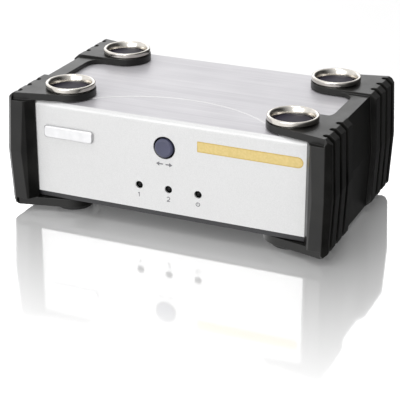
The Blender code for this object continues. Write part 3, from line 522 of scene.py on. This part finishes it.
def make_led(name):
    """A round-ended lamp body with its collar and two leads."""
    low, high = box_mm(name)
    centre = centre_mm(name)
    tip, collar_r = low.y, (high.x - low.x) / 2
    collar = tip + LAMP_LONG
    base = collar + COLLAR_THICK
    profile = []
    for i in range(CURVE_STEPS + 1):
        turn = math.pi / 2 * i / CURVE_STEPS
        profile.append((LAMP_R * math.sin(turn), tip + LAMP_R * (1 - math.cos(turn))))
    profile += [(LAMP_R, collar), (collar_r, collar), (collar_r, base), (0.0, base)]
    mesh = turned(profile, (centre.x, 0.0, centre.z), "y", SMALL)
    for side in (-1, 1):
        add_bar(mesh, (centre.x, centre.z + side, base - 0.1, high.y), LEAD_HALF)
    new_piece(f"{name}_lamp", mesh, finishes["smoked_lens"], replaced=[name])


def add_bar(mesh, place, half):
    """A square bar along Y."""
    x, z, start, end = place
    corners = ((-half, -half), (half, -half), (half, half), (-half, half))
    rings = [[mesh.verts.new((x + u, y, z + v)) for u, v in corners] for y in (start, end)]
    for i in range(4):
        j = (i + 1) % 4
        mesh.faces.new((rings[0][i], rings[0][j], rings[1][j], rings[1][i]))
    mesh.faces.new(rings[0])
    mesh.faces.new(rings[1])


# Printing on the front panel

PANEL_Y = box_mm("top_cover")[0].y
PRINT_THICK = 0.05
PRINT_GAP = 0.005  # between the ink and the panel
STRIPE_INSET = 0.4
STRIPE_LIFT = 0.03
STROKE = 0.32
ARROW_STROKE = 0.5
MARK_TALL = 1.9
MARK_DROP = 4.2  # a lamp's centre to its mark's centre
ARROW_DROP = 7.0  # the button's centre to the arrows


def arc(centre, radius, start, end, steps=16):
    angles = [math.radians(start + (end - start) * i / steps) for i in range(steps + 1)]
    return [(centre[0] + radius * math.cos(a), centre[1] + radius * math.sin(a)) for a in angles]


def add_plate(mesh, outline, low, high):
    """An outline in XZ made a plate between two places in Y."""
    rings = [[mesh.verts.new((u, y, v)) for u, v in outline] for y in (low, high)]
    for i in range(len(outline)):
        j = (i + 1) % len(outline)
        mesh.faces.new((rings[0][i], rings[0][j], rings[1][j], rings[1][i]))
    mesh.faces.new(rings[0])
    mesh.faces.new(rings[1])


def print_shape(name, outlines, finish):
    """Flat printed shapes, each an outline in XZ, a hair proud of the panel."""
    mesh = bmesh.new()
    for outline in outlines:
        add_plate(mesh, outline, PANEL_Y - PRINT_THICK, PANEL_Y - PRINT_GAP)
    return new_piece(name, mesh, finish, smooth=20.0)


def stroke(points, width):
    """The outline of a line of a width through points."""
    left, right = [], []
    for i, point in enumerate(points):
        before = Vector(points[max(i - 1, 0)])
        after = Vector(points[min(i + 1, len(points) - 1)])
        along = (after - before).normalized()
        across = Vector((-along.y, along.x)) * width / 2
        left.append(tuple(Vector(point) + across))
        right.append(tuple(Vector(point) - across))
    return left + right[::-1]


def ink(name, dark, light):
    """Silk-screened ink with faint unevenness."""
    made, tree, shader = nodes_of(name)
    where = coordinates(tree)
    tree.links.new(tint(tree, noise(tree, where, 1.1, 3.0), dark, light), shader.inputs["Base Color"])
    tree.links.new(spread(tree, noise(tree, where, 3.0), 0.4, 0.55), shader.inputs["Roughness"])
    bump(tree, shader, noise(tree, where, 3.0), 0.08, 0.03)
    return made


def make_stripe():
    """The gold strip, square at its left end and round at its right, left blank."""
    low_x, high_x, low_z, high_z = 13.5, 58.1, 37.6, 42.1
    for name, inset, dark, light in (
        ("stripe_edge", 0.0, (0.46, 0.32, 0.08), (0.53, 0.38, 0.1)),
        ("stripe_middle", STRIPE_INSET, (0.55, 0.42, 0.15), (0.62, 0.48, 0.2)),
    ):
        radius = (high_z - low_z) / 2 - inset
        round_end = arc((high_x - radius - inset, (low_z + high_z) / 2), radius, -90, 90)
        outline = [(low_x + inset, low_z + inset)] + round_end + [(low_x + inset, high_z - inset)]
        made = print_shape(name, [outline], ink(name, dark, light))
        if inset:
            made.data.transform(Matrix.Translation((0.0, -STRIPE_LIFT * MM, 0.0)))


def mark_one(x, z):
    top = z + MARK_TALL / 2
    return [
        stroke([(x, top), (x, z - MARK_TALL / 2)], STROKE),
        stroke([(x, top), (x - 0.55, top - 0.5)], STROKE),
    ]


def mark_two(x, z):
    round_r, foot = 0.62, z - MARK_TALL / 2
    curve = arc((x, z + MARK_TALL / 2 - round_r), round_r, 160, -40, 10)
    return [
        stroke(curve + [(x - 0.65, foot)], STROKE),
        stroke([(x - 0.72, foot), (x + 0.72, foot)], STROKE),
    ]


def mark_ring(x, z):
    """A ring open at its top, with an upright stroke in the opening."""
    ring = arc((x, z), 0.8, 125, 415, 20)
    return [stroke(ring, STROKE), stroke([(x, z), (x, z + 1.0)], STROKE)]


def arrows(x, z):
    """Two arrows that point away from each other."""
    made = []
    for side in (-1, 1):
        tip, base, gap = x + side * 3.6, x + side * 2.2, x + side * 0.6
        made.append([(tip, z), (base, z + 0.95), (base, z - 0.95)])
        made.append(stroke([(base, z), (gap, z)], ARROW_STROKE))
    return made


def make_marks():
    """Plain marks: a numeral under each of two lamps, an open ring under the third,
    and arrows under the button."""
    grey = ink("print_grey", (0.1, 0.1, 0.11), (0.17, 0.17, 0.18))
    for name, node_name, drawn, drop in (
        ("mark_first", "first_led", mark_one, MARK_DROP),
        ("mark_second", "second_led", mark_two, MARK_DROP),
        ("mark_mode", "mode_led", mark_ring, MARK_DROP),
        ("mark_button", "select_button", arrows, ARROW_DROP),
    ):
        centre = centre_mm(node_name)
        print_shape(name, drawn(centre.x, centre.z - drop), grey)


# Contacts of the rear connectors

CONTACT_R = 0.42
CONTACT_STEPS = 12
CONTACT_PROUD = 0.02  # stands this far out of the face, so that it shows
CONTACT_DEEP = 0.3
PIN_PITCH = 2.29
ROW_PITCH = 1.98
MIDDLE_ROW_SHIFT = -1.15
SOCKET_PINS = ((1.3, 2.5), (2.7, 0.6), (1.7, -1.9))  # half the spacing, height
KEYWAY = (0.9, -0.8, 0.2)  # half its width, its lower and upper edge
JACK_PIN_R = 1.06
JACK_SLEEVE = 0.12
JACK_PIN_LONG = 8.5


def add_bores(mesh, places, face):
    """Small dark discs let into a face, a hair proud of it: their near-black paints the shade inside the
    holes.
    """
    front, back = face + CONTACT_PROUD, face - CONTACT_DEEP
    for x, z in places:
        disc = [(0.0, front), (CONTACT_R, front), (CONTACT_R, back), (0.0, back)]
        turned(disc, (x, 0.0, z), "y", CONTACT_STEPS, mesh)


def make_video_contacts():
    """Three rows of five, the middle row shifted."""
    for column in COLUMNS:
        face = box_mm(f"{column}_video_insert")[1].y
        centre = centre_mm(f"{column}_video_shell")
        places = [
            (
                centre.x + (i - 2) * PIN_PITCH + (0 if row else MIDDLE_ROW_SHIFT),
                centre.z + row * ROW_PITCH,
            )
            for row in (1, 0, -1)
            for i in range(5)
        ]
        mesh = bmesh.new()
        add_bores(mesh, places, face)
        new_piece(f"{column}_video_contacts", mesh, finishes["gap_and_hole_shade_black"])


def make_socket_contacts():
    """Three pairs of holes and a keyway."""
    half, lower, upper = KEYWAY
    corners = ((-half, lower), (half, lower), (half, upper), (-half, upper))
    for console in COLUMNS[:2]:
        for kind in ("keyboard", "mouse"):
            socket = f"{console}_{kind}_socket"
            face = box_mm(socket)[1].y
            centre = centre_mm(socket)
            mesh = bmesh.new()
            places = [
                (centre.x + side * x, centre.z + z) for x, z in SOCKET_PINS for side in (-1, 1)
            ]
            add_bores(mesh, places, face)
            keyway = [(centre.x + u, centre.z + v) for u, v in corners]
            # the keyway as a dark plate: painted shade of the slot
            add_plate(mesh, keyway, face - CONTACT_DEEP, face + CONTACT_PROUD)
            new_piece(f"{console}_{kind}_contacts", mesh, finishes["gap_and_hole_shade_black"])


def make_power_pin():
    """The bright sleeve and tip over the power jack's centre pin."""
    centre = centre_mm("power_jack")
    face = box_mm("power_jack")[1].y
    outer, back = JACK_PIN_R + JACK_SLEEVE, face - JACK_PIN_LONG
    front, inside = face + 0.04, face + 0.01
    profile = [(0.0, front)]
    profile += rounded_corner((outer, front), (0, front), (outer, face - 0.3), 0.25)
    profile += [(outer, back), (JACK_PIN_R, back), (JACK_PIN_R, inside), (0.0, inside)]
    mesh = turned(profile, (centre.x, 0.0, centre.z), "y", SMALL)
    new_piece("power_jack_pin", mesh, finishes["plated_steel"])


# Studio

WORLD_TOWARDS = (-0.5, -0.25, 0.15)  # where the world's light is strongest
WORLD_LOW, WORLD_HIGH = 0.05, 1.24
SOFTBOXES = (  # name, place, size, watts
    ("key", (-0.12, -1.0, 0.36), (1.0, 0.4), 4.1),
    ("ceiling", (0.0, -0.24, 1.1), (0.5, 0.3), 2.4),
    ("sheen", (-0.48, 1.09, 0.56), (1.0, 0.35), 1.5),
)
AIM_POINT = (0.0, 0.0, 0.02)
CAMERA_PLACE = (0.22284, -0.50901, 0.23918)
CAMERA_AZIMUTH, CAMERA_ELEVATION = math.radians(23.83), math.radians(23.32)
CAMERA_LENS, CAMERA_SENSOR = 125.747, 36.0
FLOOR_HALF = 4.0
FLOOR_ROUGHNESS = 0.07
FLOOR_GLOW = 0.05
FLOOR_GLOSS = 0.58  # share of mirror reflection in the floor close to the object
GLOSS_REACH = 95.0  # where that has faded out, from the object's outline


def add_softbox(name, place, size, watts):
    light = bpy.data.lights.new(name, "AREA")
    light.shape = "RECTANGLE"
    light.size, light.size_y = size
    light.energy = watts
    made = bpy.data.objects.new(name, light)
    bpy.context.scene.collection.objects.link(made)
    made.location = place
    towards = Vector(AIM_POINT) - Vector(place)
    made.rotation_euler = towards.to_track_quat("-Z", "Y").to_euler()


def make_camera():
    camera = bpy.data.cameras.new("camera")
    camera.lens, camera.sensor_width = CAMERA_LENS, CAMERA_SENSOR
    camera.sensor_fit = "HORIZONTAL"
    camera.clip_start = 0.01
    made = bpy.data.objects.new("camera", camera)
    bpy.context.scene.collection.objects.link(made)
    across, along = math.sin(CAMERA_AZIMUTH), math.cos(CAMERA_AZIMUTH)
    flat, rise = math.cos(CAMERA_ELEVATION), math.sin(CAMERA_ELEVATION)
    right = Vector((along, across, 0.0))
    back = Vector((across * flat, -along * flat, rise))
    up = back.cross(right)
    turn = Matrix((right, up, back)).transposed().to_4x4()
    made.matrix_world = Matrix.Translation(CAMERA_PLACE) @ turn
    bpy.context.scene.camera = made


def floor_gloss(tree):
    """The polished area round the object, fading with the distance from its outline."""
    split = tree.nodes.new("ShaderNodeSeparateXYZ")
    tree.links.new(coordinates(tree), split.inputs["Vector"])
    beyond = []
    for axis, half in (("X", CAD_BOX[1][0] / MM), ("Y", CAD_BOX[1][1] / MM)):
        size = math_node(tree, "ABSOLUTE", split.outputs[axis])
        beyond.append(math_node(tree, "MAXIMUM", math_node(tree, "SUBTRACT", size, half), 0.0))
    squares = [math_node(tree, "MULTIPLY", value, value) for value in beyond]
    distance = math_node(tree, "SQRT", math_node(tree, "ADD", *squares))
    return spread(tree, distance, FLOOR_GLOSS, 0.0, 0.0, GLOSS_REACH)


def make_floor():
    """A white floor that mirrors the object and isn't seen in the object's own gloss."""
    mesh = bmesh.new()
    bmesh.ops.create_grid(mesh, x_segments=1, y_segments=1, size=FLOOR_HALF)
    data = bpy.data.meshes.new("floor")
    mesh.to_mesh(data)
    mesh.free()
    made, tree, shader = nodes_of("floor_white")
    where = coordinates(tree)
    white = tint(tree, noise(tree, where, 0.01), (0.88, 0.88, 0.88), (0.9, 0.9, 0.9))
    tree.links.new(white, shader.inputs["Base Color"])
    shader.inputs["Roughness"].default_value = FLOOR_ROUGHNESS
    tree.links.new(floor_gloss(tree), shader.inputs["Metallic"])
    shader.inputs["Emission Color"].default_value = (1.0, 1.0, 1.0, 1.0)
    shader.inputs["Emission Strength"].default_value = FLOOR_GLOW
    data.materials.append(made)
    floor = bpy.data.objects.new("floor", data)
    bpy.context.scene.collection.objects.link(floor)
    floor.visible_glossy = False


def make_world():
    """Soft light all round, strong from the left and the front and weak from the right."""
    world = bpy.data.worlds.new("studio")
    world.use_nodes = True
    tree = world.node_tree
    background = tree.nodes["Background"]
    background.inputs["Color"].default_value = (1.0, 1.0, 1.0, 1.0)
    direction = tree.nodes.new("ShaderNodeTexCoord")
    towards = tree.nodes.new("ShaderNodeVectorMath")
    towards.operation = "DOT_PRODUCT"
    towards.inputs[1].default_value = WORLD_TOWARDS
    tree.links.new(direction.outputs["Generated"], towards.inputs[0])
    level = node(tree, "ShaderNodeMapRange", From_Min=-0.4, From_Max=0.2, To_Min=WORLD_LOW, To_Max=WORLD_HIGH)
    tree.links.new(towards.outputs["Value"], level.inputs["Value"])
    tree.links.new(level.outputs["Result"], background.inputs["Strength"])
    bpy.context.scene.world = world


def make_studio():
    make_world()
    bpy.context.scene.view_settings.view_transform = "Standard"
    for softbox in SOFTBOXES:
        add_softbox(*softbox)


dress_frame()
make_skin("left_end_cap", "left_cap_shell", 0.18, "black_plastic")
make_skin("right_end_cap", "right_cap_shell", 0.18, "black_plastic")
make_skin("top_cover", "cover_shell", 0.12, "silver_paint")
make_skin("badge_plate", "blank_badge", 0.1, "badge_metal")
for corner in CORNERS:
    make_ring(corner)
    make_cup_floor(corner)
    make_foot(corner)
make_button()
for lamp in ("first_led", "second_led", "mode_led"):
    make_led(lamp)
make_stripe()
make_marks()
make_video_contacts()
make_socket_contacts()
make_power_pin()
make_camera()
make_floor()
make_studio()
